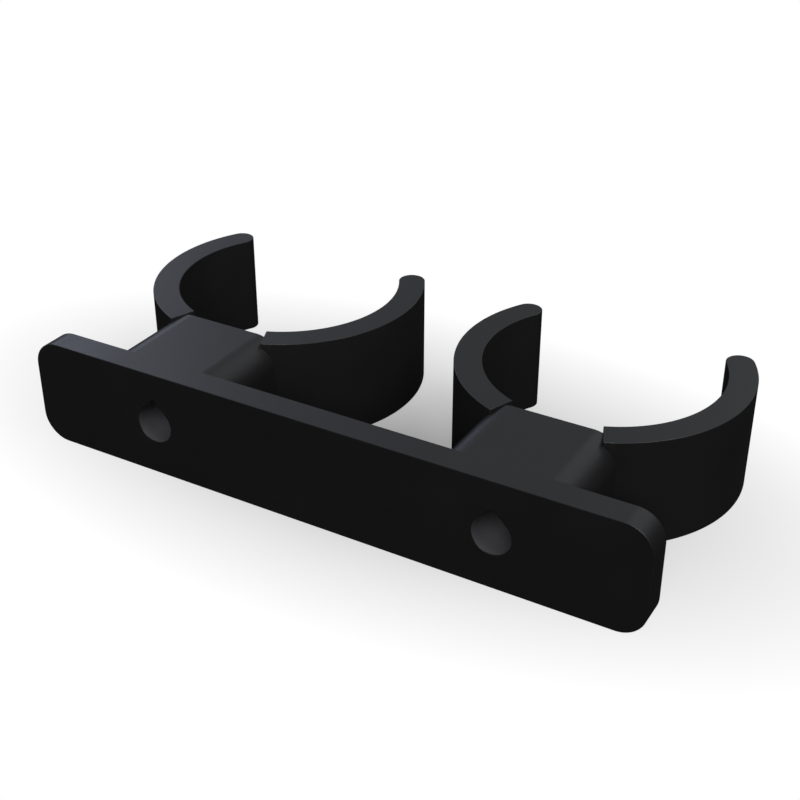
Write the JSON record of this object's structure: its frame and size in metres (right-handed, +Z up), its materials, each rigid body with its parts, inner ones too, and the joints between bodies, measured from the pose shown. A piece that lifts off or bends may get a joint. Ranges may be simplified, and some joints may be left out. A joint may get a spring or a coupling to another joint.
{
  "type": "double pipe bracket",
  "caption": "Wall plate with stand-off blocks that carry side-by-side open spring clips, which hold a pair of parallel pipes off the wall.",
  "frame": {"origin": "middle of the plate's outer face, which lies on the wall, half way between the screw holes", "axes": "+X along the plate, +Y away from the wall and out of the clips' mouths, +Z up along the pipes"},
  "size_m": [0.0708, 0.0345, 0.012],
  "materials": {
    "black_nylon": "satin, as moulded"
  },
  "bodies": {
    "root": {"bracket": "black_nylon"}
  },
  "joints": []
}
